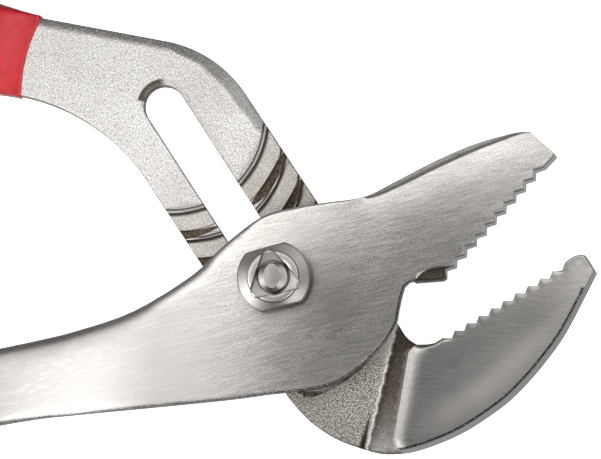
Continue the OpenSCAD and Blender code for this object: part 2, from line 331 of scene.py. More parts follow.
def line_points(start, end, spacing):
    """Points along a straight line."""
    start, end = np.array(start, float), np.array(end, float)
    count = max(1, math.ceil(np.linalg.norm(end - start) / spacing))
    return start + (end - start) * (np.arange(count + 1) / count)[:, None]


def smooth_step(low, high, values):
    """A soft rise from 0 to 1 between two values."""
    t = ((np.asarray(values, float) - low) / (high - low)).clip(0, 1)
    return t * t * (3 - 2 * t)


slide_joint = frame["joints"][0]
slide_reach = slide_joint["range_m"][1] / MM
along = np.array(slide_joint["axis"][:2])
across = np.array([along[1], -along[0]])
rear_back, face = (corner.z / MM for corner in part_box("rear_lever"))
arm_face = 8.3
forged_roll, forged_grid = 1.0, 1.3

groove_count, groove_sweep, groove_mark = 7, 66, 0.45
groove_pitch = slide_reach / (groove_count - 1)
groove_tilt = math.degrees(math.atan2(-along[1], -along[0]))
land_r, ring_r, floor_r, slope_r = 23.0, 28.15, 30.45, 31.75
land_run, step_run = 0.4, 0.15
land_depth, ring_depth = 0.8, 2.0
first_slope_r, first_taper, taper_start, taper_end = 30.8, 3.0, -7, -12
step_marks = np.array([-0.4, -0.2, 0, 0.12, 0.4, 0.55, 0.9, 1.3, 1.7])


def groove_radius(points, i):
    """Distance of points from the place that the bolt has in one groove, and whether they lie before it."""
    away = points - i * groove_pitch * along
    return np.linalg.norm(away, axis=1), away @ along < 0


def groove_radii(i):
    """The radii at which one groove's section turns, from its step to the end of its far slope."""
    return [land_r, land_r + land_run, ring_r, ring_r + step_run, floor_r, slope_r if i else first_slope_r]


def groove_drop(points):
    """Depth of the milled grooves below the arm's face."""
    depth = np.zeros(len(points))
    for i in range(groove_count):
        r, before = groove_radius(points, i)
        if i == 0:
            r = r + first_taper * smooth_step(taper_start, taper_end, points @ across)
        one = np.interp(r, groove_radii(i), [0, land_depth, land_depth, ring_depth, ring_depth, 0])
        depth = np.maximum(depth, np.where(before, one, 0))
    return depth


lens_r, lens_w, lens_stop = 29.1, 2.3, -20
lens_middle, lens_half = 11.8, 7.0
lens_left_start, lens_left_run = 4.5, 9.5


def groove_lens(points):
    """Distance inside the painted shade bands on the groove floors, which end in points, below zero
    outside.
    """
    sideways = points @ across
    right = (1 - ((sideways - lens_middle) / lens_half) ** 2).clip(0)
    left = ((-sideways - lens_left_start) / lens_left_run).clip(0, 1)
    half_w = lens_w / 2 * np.sqrt(np.where(sideways > 0, right, left))
    inside = np.full(len(points), -lens_w)
    for i in range(groove_count):
        r, before = groove_radius(points, i)
        inside = np.where(before, np.maximum(inside, half_w - np.abs(r - lens_r)), inside)
    return np.where(points @ along > lens_stop, inside, -lens_w)


def step_band(points, rise, fall):
    """How strongly points lie in a band beside the steps from the arm's face down to the grooves' lands."""
    band = np.zeros(len(points))
    for i in range(groove_count):
        r, before = groove_radius(points, i)
        band = np.maximum(band, before * smooth_step(*rise, r - land_r) * smooth_step(*fall, r - land_r))
    return band


ridge = np.array([26.16, -28.32])
ridge_angle = math.radians(77)
ridge_right = np.array([math.sin(ridge_angle), -math.cos(ridge_angle)])
ridge_up = np.array([math.cos(ridge_angle), math.sin(ridge_angle)])
ridge_below, ridge_above, ridge_mark = 20, 26, 0.4
ridge_rise, valley_depth, valley_w = 0.2, 1.4, 0.75
ridge_wobble, long_wave, short_wave, short_share = 0.14, 1.7, 4.1, 0.6
hub_r, hub_fade = 32.2, 1.7
flank_rise, flank_rise_w = 1.9, 3.5


def ridge_side(points):
    """Distance of points to the right of the uneven ridge between arm and jaw."""
    up = (points - ridge) @ ridge_up
    wobble = ridge_wobble * (np.sin(long_wave * up) + short_share * np.sin(short_wave * up + 1))
    return (points - ridge) @ ridge_right + wobble


fine_spacing, plain_spacing = 0.2, 0.45
groove_zone, groove_zone_w = (-36, 46), 22


def rear_spacing(place):
    """Rim spacing, fine where the grooves cut the rails."""
    in_grooves = groove_zone[0] < place @ along < groove_zone[1] and place @ across < groove_zone_w
    return fine_spacing if in_grooves else plain_spacing


rear_rim = Rim([smooth_loop(loop, rear_spacing) for loop in wall_loops("rear_lever", -1)])

plate_top, plate_low = np.array([33.5, -17.9]), np.array([29.6, -41.25])
plate_up = (plate_top - plate_low) / np.linalg.norm(plate_top - plate_low)
plate_right = np.array([plate_up[1], -plate_up[0]])
plate_wall, plate_over, plate_mark = 0.15, 4, 0.35
plate_fall, plate_fall_w, plate_ease_w = 0.285, 1.8, 3.4
plate_corner_r, plate_corner_flat, plate_corner_tries = 3.4, 1.6, 6
plate_middle, plate_crown_r, plate_crown_w = np.array([50, -20]), 300, 12


def plate_corner(rim_gap):
    """How far the ground plate's left edge gives way at its round corners."""
    return (plate_corner_r - rim_gap).clip(0) ** 2 / (plate_corner_flat * plate_corner_r)


def plate_side(points, rim_gap):
    """Distance of points inside the ground plate's left edge."""
    return (points - plate_low) @ plate_right - plate_corner(rim_gap)


def plate_line(v):
    """Points along the plate at one distance from its left edge."""
    low = plate_low + v * plate_right - plate_over * plate_up
    high = plate_top + v * plate_right + plate_over * plate_up
    straight = line_points(low, high, plate_mark)
    points = straight
    for _ in range(plate_corner_tries):
        points = straight + plate_corner(rear_rim.gaps(points))[:, None] * plate_right
    return points


fold_top, fold_bottom = np.array([24.2, -31.5]), np.array([21.4, -42.6])
fold_w, fold_depth, fold_mark = 1.1, 1.7, 0.35
fold_narrow, fold_wide = 0.05, 1.2


def fold_cut(points):
    """Depth of the forging fold beside the ridge, a wedge that opens downwards."""
    run = fold_bottom - fold_top
    t = (points - fold_top) @ run / (run**2).sum()
    off = np.abs(across_2d(points - fold_top, run)) / np.linalg.norm(run)
    return fold_depth * t.clip(0, 1) * (1 - off / (fold_w * t.clip(fold_narrow, fold_wide))).clip(0, 1)


def rear_front(points, rim_gap):
    """Height of the rear lever's front: arm with grooves, ridge, valley and crowned jaw plate."""
    u, v = ridge_side(points), plate_side(points, rim_gap)
    past_hub = smooth_step(hub_r, hub_r + hub_fade, np.linalg.norm(points, axis=1))
    crest = ridge_rise * (1 - np.abs(u) / valley_w).clip(0, 1) * past_hub
    arm = arm_face - groove_drop(points) - fold_cut(points) + crest
    valley = arm_face + crest - valley_depth * smooth_step(0, valley_w, u)
    valley = valley + flank_rise * smooth_step(-flank_rise_w, 0, v)
    ease = plate_ease_w / 2 * (1 - (v - plate_fall_w) / plate_ease_w).clip(0, 1) ** 2
    edge = plate_fall * ((plate_fall_w - v).clip(0, plate_fall_w) + ease)
    crown = ((points - plate_middle) ** 2).sum(1) / (2 * plate_crown_r) * smooth_step(0, plate_crown_w, v)
    plate = face - edge - crown
    climb = ((v + plate_wall) / (2 * plate_wall)).clip(0, 1)
    jaw = valley + (plate - valley) * climb
    return np.where(u < 0, arm, jaw)


def rear_back_face(points):
    """Height of the rear lever's flat back."""
    return np.full(len(points), rear_back)


slot_past_reach = 3.8
slot_top = along * (slide_reach + slot_past_reach)
slot_end_r, crescent_w = 5.05, 1.8
crescent_start, crescent_end, crescent_over, crescent_mark = 84, 168, 4, 0.3
# Each anchor of a rolled edge: x and y, the roll's width and depth, and how much of it is a flat bevel.
rear_rolls = [
    (-150, 74, 3.0, 2.2, 0), (-100, 72, 2.4, 1.6, 0.6), (-60, 66, 2.2, 1.25, 0.4),
    (-40, 62, 2.2, 1.25, 0.45), (-30, 60.2, 2.2, 1.35, 0.7), (-20, 57.3, 2.7, 1.85, 1),
    (-13.4, 52.8, 3.2, 2.2, 1), (-8, 46.5, 3.2, 2.2, 1), (-3.6, 39.6, 2.7, 1.9, 1),
    (-2.9, 38.4, 2.5, 1.7, 1), (-1.6, 36.4, 0.3, 0.25, 0), (8, 24, 0.3, 0.25, 0), (20, 8, 0.3, 0.25, 0),
    (-150, 60, 1.6, 1.4, 0), (-90, 55, 0.9, 0.8, 0), (-60, 48, 0.6, 0.5, 0), (-40, 36, 0.4, 0.3, 0),
    (-28, 12, 0.3, 0.25, 0), (-12, -10, 0.3, 0.25, 0), (3, -29, 0.7, 0.6, 0), (10, -37, 1.7, 1.2, 0),
    (18, -42, 1.9, 1.3, 0), (26, -43.2, 0.9, 0.8, 0), (30, -43, 0.6, 1.2, 1), (38, -42, 0.45, 2.2, 1),
    (55, -33, 0.45, 2.2, 1), (72, -13, 0.45, 2.2, 1), (78, -2, 0.4, 1.2, 1), (76, 5.5, 0.5, 0.4, 0),
    (66, -1, 1.1, 0.16, 1), (56, -7, 1.1, 0.16, 1), (46, -13, 1.1, 0.16, 1), (40, -16.4, 1.0, 0.6, 0.5),
    (34, -15, 1.2, 1.1, 0), (30.5, -11.5, 0.8, 0.7, 0), (26, -2, 0.3, 0.25, 0),
    (-30.7, 47.9, 1.7, 1.2, 1), (-32.4, 46.2, 1.5, 1.1, 1), (-28.9, 48.5, 1.6, 1.0, 1),
    (-33.1, 44, 0.9, 0.6, 1), (-33.1, 42.5, 0.3, 0.25, 0), (-27, 48.4, 0.6, 0.3, 0),
    (-25.5, 47.6, 0.4, 0.3, 0), (-23.6, 45, 0.25, 0.2, 0), (-22, 38, 0.25, 0.2, 0),
    (-28, 32, 0.25, 0.2, 0), (-20, 20, 0.25, 0.2, 0), (0, 6, 0.25, 0.2, 0),
]
groove_lines = [
    arc_points(i * groove_pitch * along, r, groove_tilt - groove_sweep, 2 * groove_sweep, groove_mark)
    for i in range(groove_count)
    for r in (*(land_r + step_marks), ring_r, ring_r + step_run, lens_r, *groove_radii(i)[4:])
]
slot_end_lines = [
    arc_points(slot_top, slot_end_r + run, crescent_start - crescent_over,
               crescent_end - crescent_start + 2 * crescent_over, crescent_mark)
    for run in crescent_w * np.array([0.2, 0.4, 0.6, 0.8, 0.95, 1.05, 1.2])
]
ridge_lines = [
    line_points(ridge + u * ridge_right - ridge_below * ridge_up,
                ridge + u * ridge_right + ridge_above * ridge_up, ridge_mark)
    for u in valley_w * np.array([-1, -0.5, 0, 0.25, 0.5, 0.75, 1])
]
plate_lines = [
    plate_line(v) for v in (-plate_wall, plate_wall, 0.6, 1.2, plate_fall_w, 2.4, 3.1, 4.0, 5.0)
]
fold_lines = [
    line_points(fold_top, fold_bottom + np.array([side * fold_w, 0]), fold_mark)
    for side in (-1, -0.5, 0, 0.5, 1)
]
rear_lever = skin(
    "rear_lever_forging", rear_rim, rear_rolls, rear_front, rear_back_face, forged_roll,
    np.vstack([*groove_lines, *slot_end_lines, *ridge_lines, *plate_lines, *fold_lines]), forged_grid)

upper_from = 2
spots, gap = places_of(rear_lever), painted(rear_lever, "rim_gap")
flat = spots[:, :2]
x, y, z = spots.T
upper = z > rear_back + upper_from
u, v = ridge_side(flat), plate_side(flat, gap)
up, sideways = flat @ along, flat @ across

# Each soft band or fade below is a pair: where it starts and where it is full.
lip_rise, lip_fall = (-0.5, -0.2), (0.12, 0)
glint_rise, glint_fall = (0, 0.12), (0.55, 0.4)
foot_rise, foot_fall, foot_share = (0.35, 0.5), (1.7, 0.9), 0.95
lip, foot = step_band(flat, lip_rise, lip_fall), step_band(flat, foot_rise, foot_fall)
# The lens paint is painted shade: dark bands on the groove floors where the deep rings lie in shadow.
paint(rear_lever, "lens", np.where(upper, groove_lens(flat), -lens_w))
# The step paint is dark lines at each step's lip and foot, and the glint is a painted highlight on the
# step's wall between them.
paint(rear_lever, "step", np.maximum(lip, foot_share * foot) * upper)
paint(rear_lever, "glint", step_band(flat, glint_rise, glint_fall) * upper)

land_soft = 0.1
worn_share, worn_gap, worn_up = 0.6, (1.9, 0.4), (14, 26)
left_rail_darkening_share, left_rail_darkening_side, left_rail_darkening_up = 0.5, (-2, -8), (50, 28)
deep = smooth_step(land_depth + land_soft, ring_depth, groove_drop(flat))
land = smooth_step(land_soft, land_depth, groove_drop(flat)) * (1 - deep)
from_end = flat - slot_top
end_gap = np.linalg.norm(from_end, axis=1) - slot_end_r
slot_gap = np.where(up < slot_top @ along, sideways - slot_end_r, end_gap)
worn = worn_share * smooth_step(*worn_gap, slot_gap) * (sideways > 0) * smooth_step(*worn_up, up)
left_rail_darkening = left_rail_darkening_share * smooth_step(*left_rail_darkening_side, sideways) * smooth_step(*left_rail_darkening_up, up)
# The land paint darkens the grooves' lands, a worn band beside the slot, and the left rail, fading out
# towards the slot's end.
paint(rear_lever, "land", np.maximum.reduce([land, worn, left_rail_darkening]) * upper)

flank_heights, flank_darkness, flank_fade = [-42, -36, -27, -18], [0.45, 0.78, 0.94, 0.97], (0.1, -0.3)
wedge_fade, neck_left, neck_down = (0.15, 0.9), (0, -1), (-14, -24)
crescent_least, crescent_grow, crescent_turn, crescent_deep = 0.78, (0.5, 1.5), 18, 3
crescent_fade = (crescent_w + 0.1, crescent_w - 0.2)
darkness = np.interp(y, flank_heights, flank_darkness)
flank = smooth_step(0, valley_w, u) * smooth_step(*flank_fade, v) * darkness
wedge = smooth_step(*wedge_fade, fold_cut(flat))
end_angle = np.degrees(np.arctan2(from_end[:, 1], from_end[:, 0]))
crescent = smooth_step(crescent_start, crescent_start + crescent_turn, end_angle)
crescent = crescent * (end_angle < crescent_end) * (z > arm_face - crescent_deep)
crescent = crescent * (crescent_least + (1 - crescent_least) * smooth_step(*crescent_grow, end_gap))
crescent = crescent * smooth_step(*crescent_fade, end_gap)
# The brown paint is painted shade in the valley between ridge and plate, darkest at its top where the hub
# shades it, and dark brown in the forging fold and round the slot's end.
paint(rear_lever, "brown", np.maximum.reduce([flank, wedge, crescent]) * upper)
# The ridge gap places a painted highlight along the ridge's crest.
paint(rear_lever, "ridge_gap", np.where(upper, np.abs(u), valley_w))
paint(rear_lever, "coarse", smooth_step(*neck_left, u) * smooth_step(*neck_down, y) * (1 - wedge))

chamfer_bevel, chamfer_w = 0.35, 1.75
ramp_least, ramp_more, ramp_left = 0.8, 1.8, (-20, -32)
shade_loss, shade_right = 0.7, (-24, -10)
edge_w, _, edge_bevel = from_anchors(flat, rear_rolls).T
arm_edge = (edge_bevel > chamfer_bevel) & (edge_w > chamfer_w) & (y > 0)
ramp_w = ramp_least + ramp_more * smooth_step(*ramp_left, x)
# The chamfer paint is painted shade on the arm's chamfered edge, weaker to the right where the shade paint
# falls.
paint(rear_lever, "chamfer", arm_edge * ((edge_w - gap) / ramp_w + 0.5).clip(0, 1) * upper)
paint(rear_lever, "shade", 1 - shade_loss * smooth_step(*shade_right, x))

teeth_dir, teeth_room = np.array([0.87, 0.49]), 8
ground_fade, facet_gap, facet_up = (0, 0.4), (1.3, 0.9), (-5, -3)
edge_line_in, sheen_in, sheen_w, sheen_right = 0.6, 5.6, 3.8, (4, 14)
past_teeth = across_2d(teeth_dir, flat - plate_top)
below_teeth = smooth_step(-teeth_room, -2 * teeth_room, past_teeth)
edge_lined = (past_teeth < -teeth_room) & upper & (v > 0)
sheen = np.exp(-(((gap - sheen_in) / sheen_w) ** 2))
paint(rear_lever, "ground", smooth_step(*ground_fade, v) * (u > 0) * upper)
# A dark ragged line just inside the plate's lower edge.
paint(rear_lever, "edge_line_gap", np.where(edge_lined, np.abs(gap - edge_line_in), edge_line_in))
# The facet paint is painted shade on the rolled facets below the lower teeth.
paint(rear_lever, "facet", smooth_step(*facet_gap, gap) * smooth_step(*facet_up, past_teeth) * upper)
# The sheen paint is a painted highlight: a soft bright band inside the plate's lower right edge.
paint(rear_lever, "sheen", sheen * below_teeth * smooth_step(*sheen_right, v) * upper)
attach(rear_lever, "rear_half")
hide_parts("rear_lever")


def node_group(name, inputs, outputs):
    """An empty shader node group with float inputs and outputs, and its two end nodes."""
    group = bpy.data.node_groups.new(name, "ShaderNodeTree")
    for label, value in inputs.items():
        socket = group.interface.new_socket(label, in_out="INPUT", socket_type="NodeSocketFloat")
        socket.default_value = value
    for label in outputs:
        group.interface.new_socket(label, in_out="OUTPUT", socket_type="NodeSocketFloat")
    return group, group.nodes.new("NodeGroupInput").outputs, group.nodes.new("NodeGroupOutput").inputs


def add(tree, kind, links=(), **settings):
    """A node with its settings, its inputs set to numbers or linked to other sockets."""
    node = tree.nodes.new(kind)
    for key, value in settings.items():
        setattr(node, key, value)
    for key, value in dict(links).items():
        if isinstance(value, bpy.types.NodeSocket):
            tree.links.new(value, node.inputs[key])
        else:
            node.inputs[key].default_value = value
    return node


def math_node(tree, operation, a, b=0.0):
    """One sum on one or two sockets or numbers."""
    return add(tree, "ShaderNodeMath", {0: a, 1: b}, operation=operation).outputs[0]


def span(tree, value, low, high, to_low, to_high):
    """A value carried from one span to another, held at the ends."""
    return add(tree, "ShaderNodeMapRange", {
        "Value": value, "From Min": low, "From Max": high, "To Min": to_low, "To Max": to_high,
    }).outputs["Result"]


def noise(tree, place, scale, detail, roughness=0.5):
    """Soft random values over the surface, about a half."""
    return add(tree, "ShaderNodeTexNoise", {
        "Vector": place, "Scale": scale, "Detail": detail, "Roughness": roughness}).outputs["Fac"]


def mix_colours(tree, share, a, b):
    """Two colours mixed by a share."""
    node = add(tree, "ShaderNodeMix", {"Factor": share}, data_type="RGBA")
    for socket, value in ((node.inputs[6], a), (node.inputs[7], b)):
        if isinstance(value, bpy.types.NodeSocket):
            tree.links.new(value, socket)
        else:
            socket.default_value = (*value, 1)
    return node.outputs[2]


def grade(tree, value, low, high, dark, light):
    """A colour that goes from a dark tone to a light one between two values."""
    return mix_colours(tree, span(tree, value, low, high, 0, 1), dark, light)


def attribute(tree, name):
    """A number painted on the mesh."""
    return add(tree, "ShaderNodeAttribute", attribute_name=name).outputs["Fac"]


def laid_over(tree, tone, layers):
    """A tone with colours laid over it in turn, each where the mesh is painted and as its fade says."""
    for name, fade, colour in layers:
        tone = mix_colours(tree, span(tree, attribute(tree, name), *fade), tone, colour)
    return tone


def bump(tree, height, strength, depth_mm, under=None):
    """The normal of a surface with a height in it, over another normal if one is given."""
    node = add(tree, "ShaderNodeBump", {"Height": height, "Strength": strength, "Distance": depth_mm * MM})
    if under:
        tree.links.new(under, node.inputs["Normal"])
    return node.outputs["Normal"]


def finish_material(name):
    """A new material with its tree and its shader."""
    material = bpy.data.materials.new(name)
    material.use_nodes = True
    return material, material.node_tree, material.node_tree.nodes["Principled BSDF"]


def feed(tree, shader, tone, roughness, normal):
    """Links a finish's colour, roughness and normal to its shader."""
    for label, socket in (("Base Color", tone), ("Roughness", roughness), ("Normal", normal)):
        tree.links.new(socket, shader.inputs[label])


def blasted_grain_group():
    """Grit-blasted skin: close pits with a few darker specks among them."""
    group, given, made = node_group("blasted_grain", {"Pits per metre": 2600.0}, ["Pits", "Specks"])
    place = add(group, "ShaderNodeTexCoord").outputs["Object"]
    scale = given["Pits per metre"]
    coarse = noise(group, place, math_node(group, "MULTIPLY", scale, 0.55), 2.0)
    group.links.new(noise(group, place, scale, 3.0, 0.62), made["Pits"])
    group.links.new(span(group, coarse, 0.54, 0.72, 0.0, 1.0), made["Specks"])
    return group


def brushed_grain_group():
    """Belt-ground skin: long fine streaks with some deeper scratches, along one direction."""
    group, given, made = node_group(
        "brushed_grain", {"Angle": 0.0, "Streaks per metre": 2400.0, "Length share": 0.02},
        ["Streaks", "Scratches", "Clouds"])
    place = add(group, "ShaderNodeTexCoord").outputs["Object"]
    turned = add(group, "ShaderNodeVectorRotate", {
        "Vector": place, "Angle": math_node(group, "MULTIPLY", given["Angle"], -1.0)},
        rotation_type="Z_AXIS").outputs["Vector"]
    parts = add(group, "ShaderNodeSeparateXYZ", {"Vector": turned}).outputs
    short = math_node(group, "MULTIPLY", parts["X"], given["Length share"])
    drawn = add(group, "ShaderNodeCombineXYZ", {
        "X": short, "Y": parts["Y"], "Z": parts["Z"]}).outputs["Vector"]
    scale = given["Streaks per metre"]
    coarse = noise(group, drawn, math_node(group, "MULTIPLY", scale, 0.3), 2.0)
    group.links.new(noise(group, drawn, scale, 4.0, 0.7), made["Streaks"])
    group.links.new(span(group, coarse, 0.58, 0.72, 0.0, 1.0), made["Scratches"])
    group.links.new(noise(group, place, 55.0, 3.0), made["Clouds"])
    return group


blasted_grain = blasted_grain_group()
brushed_grain = brushed_grain_group()


def blasted(tree, pits_per_metre):
    """The blasted grain's outputs at one scale."""
    return add(tree, "ShaderNodeGroup", {"Pits per metre": pits_per_metre}, node_tree=blasted_grain).outputs


def brushed(tree, angle, streaks_per_metre, length_share):
    """The brushed grain's outputs along one angle at one scale."""
    return add(tree, "ShaderNodeGroup", {
        "Angle": angle, "Streaks per metre": streaks_per_metre, "Length share": length_share,
    }, node_tree=brushed_grain).outputs


nickel_pit, nickel_peak = (0.49, 0.476, 0.462), (1.0, 0.985, 0.965)
nickel_speck, nickel_cloud = (0.30, 0.28, 0.26), (0.55, 0.51, 0.46)
neck_pit, neck_peak = (0.14, 0.128, 0.112), (0.82, 0.783, 0.722)
chamfer_shade_tone, land_tone = (0.10, 0.088, 0.075), (0.36, 0.318, 0.272)
step_tone, glint_tone = (0.04, 0.032, 0.025), (1.0, 0.97, 0.93)
rim_shade_tone, ridge_highlight_tone = (0.12, 0.10, 0.085), (0.95, 0.92, 0.87)
shade_and_tarnish_dark, shade_and_tarnish_light = (0.02, 0.013, 0.007), (0.16, 0.118, 0.075)
jaw_dark, jaw_light, jaw_pit = (0.44, 0.425, 0.405), (0.68, 0.655, 0.625), (0.42, 0.40, 0.38)
sheen_tone, facet_shade_tone, edge_line_tone = (0.98, 0.94, 0.90), (0.28, 0.265, 0.25), (0.02, 0.016, 0.012)


def plated_tone(tree, grain, lumps, clouds):
    """Colour of the nickel over the blasted steel, coarse on the neck, with painted brown shade in the
    grooves and the valley, painted shade on its edges and chamfer, and painted highlights on the steps and
    the ridge.
    """
    plated = grade(tree, grain["Pits"], 0.36, 0.62, nickel_pit, nickel_peak)
    plated = mix_colours(tree, math_node(tree, "MULTIPLY", grain["Specks"], 0.5), plated, nickel_speck)
    plated = mix_colours(tree, span(tree, clouds, 0.4, 0.7, 0, 0.2), plated, nickel_cloud)
    peel = grade(tree, lumps["Pits"], 0.36, 0.62, neck_pit, neck_peak)
    plated = mix_colours(tree, attribute(tree, "coarse"), plated, peel)
    # Painted shade on the chamfered edge, ragged by the lumps.
    ragged = math_node(tree, "ADD", attribute(tree, "chamfer"),
                       span(tree, lumps["Pits"], 0.3, 0.7, -0.3, 0.3))
    chamfer_shade = math_node(tree, "MULTIPLY", span(tree, ragged, 0.4, 0.75, 0, 1), attribute(tree, "shade"))
    edge_grain = span(tree, lumps["Pits"], 0.4, 0.62, 0.8, 0.3)
    plated = mix_colours(tree, math_node(tree, "MULTIPLY", chamfer_shade, edge_grain), plated, chamfer_shade_tone)
    # Painted shade with some brown stain: the colour laid on the groove floors, the valley, the fold and
    # the slot's end.
    shade_and_tarnish = grade(tree, lumps["Pits"], 0.36, 0.64, shade_and_tarnish_dark, shade_and_tarnish_light)
    plated = laid_over(tree, plated, [
        ("land", (0, 1, 0, 0.42), land_tone),
        ("step", (0, 0.75, 0, 0.95), step_tone),
        ("glint", (0, 1, 0, 0.7), glint_tone),
        # Painted shade along the outline's last fraction of a millimetre.
        ("rim_gap", (0.06, 0.28, 0.6, 0), rim_shade_tone),
        ("lens", (-0.05, 0.12, 0, 0.95), shade_and_tarnish),
        ("brown", (0, 1, 0, 0.96), shade_and_tarnish),
    ])
    # Painted highlight along the ridge's crest.
    crest = math_node(tree, "MULTIPLY", span(tree, attribute(tree, "ridge_gap"), 0.15, 0.45, 0.9, 0),
                      span(tree, lumps["Pits"], 0.42, 0.56, 0.1, 1))
    return mix_colours(tree, crest, plated, ridge_highlight_tone)


def jaw_tone(tree, grain, lumps, streaks):
    """Colour of the ground jaw plate, with a painted bright sheen, painted shade on the teeth's facets and
    a dark line inside its lower edge.
    """
    bright = grade(tree, streaks, 0.34, 0.66, jaw_dark, jaw_light)
    bright = mix_colours(tree, span(tree, grain["Pits"], 0.3, 0.7, 0, 0.25), bright, jaw_pit)
    bright = laid_over(tree, bright, [
        ("sheen", (0, 1, 0, 0.75), sheen_tone), ("facet", (0, 1, 0, 0.6), facet_shade_tone)])
    edge_line = math_node(tree, "MULTIPLY", span(tree, attribute(tree, "edge_line_gap"), 0.16, 0.42, 1, 0),
                     span(tree, lumps["Pits"], 0.34, 0.5, 0.25, 1))
    return mix_colours(tree, edge_line, bright, edge_line_tone)


def blasted_steel():
    """Nickel-plated blasted steel with a jaw plate that is ground through to the bright steel."""
    material, tree, shader = finish_material("blasted_steel")
    grain, lumps = blasted(tree, 2900.0), blasted(tree, 2300.0)
    belt = brushed(tree, math.radians(-5), 4200.0, 0.05)
    ground = attribute(tree, "ground")
    tone = mix_colours(tree, ground, plated_tone(tree, grain, lumps, belt["Clouds"]),
                       jaw_tone(tree, grain, lumps, belt["Streaks"]))
    rough = math_node(tree, "MULTIPLY", span(tree, ground, 0, 1, 0.72, 0.33),
                      span(tree, belt["Clouds"], 0.3, 0.7, 0.9, 1.1))
    lumpy = math_node(tree, "MAXIMUM", attribute(tree, "coarse"), attribute(tree, "chamfer"))
    unground = math_node(tree, "SUBTRACT", 1.0, ground)
    normal = bump(tree, math_node(tree, "MULTIPLY", lumps["Pits"], lumpy), 1.0, 0.5)
    normal = bump(tree, math_node(tree, "MULTIPLY", grain["Pits"], unground), 0.8, 0.16, normal)
    normal = bump(tree, math_node(tree, "MULTIPLY", belt["Streaks"], ground), 0.3, 0.03, normal)
    feed(tree, shader, tone, rough, normal)
    shader.inputs["Metallic"].default_value = 1.0
    return material


rear_lever.data.materials.append(blasted_steel())


# Pivot bolt: turned steel with a low round head behind the arm, a plain shank through slot and bore,
# and a threaded end whose chamfered tip shows in the nut.
LATHE_SIDES = 96
LATHE_CREASE = 25


def lathe(name, profile, lean, squeeze):
    """A turned piece from its half section of (radius, height) points, its end face oval and off centre."""
    angles = 2 * math.pi * np.arange(LATHE_SIDES) / LATHE_SIDES
    verts = [(r * math.cos(a), r * math.sin(a), z) for r, z in profile for a in angles]
    last = (len(profile) - 1) * LATHE_SIDES
    verts[last:] = [(x * squeeze[0] + lean[0], y * squeeze[1] + lean[1], z) for x, y, z in verts[last:]]
    faces = []
    for row in range(len(profile) - 1):
        for k in range(LATHE_SIDES):
            a, b = row * LATHE_SIDES + k, row * LATHE_SIDES + (k + 1) % LATHE_SIDES
            faces.append((a, b, b + LATHE_SIDES, a + LATHE_SIDES))
    faces.append(tuple(reversed(range(LATHE_SIDES))))
    faces.append(tuple(range(last, last + LATHE_SIDES)))
    return new_piece(name, verts, faces, LATHE_CREASE)


bolt_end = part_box("pivot_bolt")[1].z / MM
head_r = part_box("pivot_bolt")[1].x / MM
head_t, head_round = 1.8, 0.5
shank_r, thread_r, tip_r = 5.0, 4.0, 2.5
tip_h, tip_shoulder_h, tip_shoulder_in = 1.7, 0.8, 0.4
tip_lean, tip_squeeze = (-0.2, 0.1), (0.8, 1.2)
pivot_bolt = lathe("pivot_bolt_turned", [
    (head_r - 3 * head_round, 0), (head_r - head_round, 0.25 * head_round), (head_r, head_round),
    (head_r, head_t - head_round / 2), (head_r - head_round / 2, head_t), (shank_r, head_t),
    (shank_r, face), (thread_r, face), (thread_r, bolt_end - tip_h),
    (thread_r - tip_shoulder_in, bolt_end - tip_shoulder_h), (tip_r, bolt_end)], tip_lean, tip_squeeze)
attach(pivot_bolt, "pivot")
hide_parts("pivot_bolt")

turned_dark, turned_light, pocket_shade_tone = (0.36, 0.342, 0.32), (0.50, 0.482, 0.457), (0.10, 0.085, 0.068)


def pivot_steel():
    """Bare turned steel, slightly scuffed, with painted shade in the pits where a punch has driven it in.
    """
    material, tree, shader = finish_material("pivot_steel")
    scuffs = brushed(tree, math.radians(20), 3200.0, 0.25)
    tone = grade(tree, scuffs["Clouds"], 0.35, 0.65, turned_dark, turned_light)
    tone = laid_over(tree, tone, [("pocket", (0, 1, 0, 0.7), pocket_shade_tone)])
    rough = span(tree, scuffs["Streaks"], 0.3, 0.7, 0.34, 0.46)
    feed(tree, shader, tone, rough, bump(tree, scuffs["Streaks"], 0.25, 0.03))
    shader.inputs["Metallic"].default_value = 1.0
    return material


pivot_finish = pivot_steel()
pivot_bolt.data.materials.append(pivot_finish)


# Front lever: a second forging that lies over the arm, ground bright on its whole front by a belt.
# Its handle is cranked back to the level of the other one, and a bevel is ground on the upper jaw.
mate_back = 8.4
crank_front, crank_back, crank_end = 30, 46, 74
jaw_back_r = 34.5
tongue_in, tongue_out, tongue_level = 28.4, 30.2, 6.8
tongue_low, tongue_high = -50, -22


def crank(points, start, high, low):
    """Height along the handle's step back."""
    return high + (low - high) * smooth_step(start, crank_end, -points[:, 0])


def front_back(points):
    """Height of the front lever's back: hub, thick jaw, tongue and cranked handle."""
    z = crank(points, crank_back, mate_back, rear_back)
    r = np.linalg.norm(points, axis=1)
    jaw = smooth_step(jaw_back_r, jaw_back_r + step_run, r) * (points[:, 0] > 0)
    z = z + (rear_back - mate_back) * jaw
    angle = np.degrees(np.arctan2(points[:, 1], points[:, 0]))
    tongue = (r > tongue_in) & (r < tongue_out) & (angle > tongue_low) & (angle < tongue_high)
    return np.where(tongue, tongue_level, z)


scoop, scoop_stretch = np.array([42.3, -1.4]), np.array([0.58, 1.0])
scoop_r, scoop_lift = 4.7, 2.2
step_zone, scoop_zone = 2, 6


def scoop_away(points):
    """Squared distance from the scoop's middle, drawn out along the throat."""
    return (((points - scoop) * scoop_stretch) ** 2).sum(1)


def front_spacing(place):
    """Rim spacing, fine where the jaw's back steps down and round the scoop."""
    at_step = abs(np.linalg.norm(place) - jaw_back_r) < step_zone
    at_scoop = np.linalg.norm(place - scoop) < scoop_zone
    return fine_spacing if at_step or at_scoop else plain_spacing


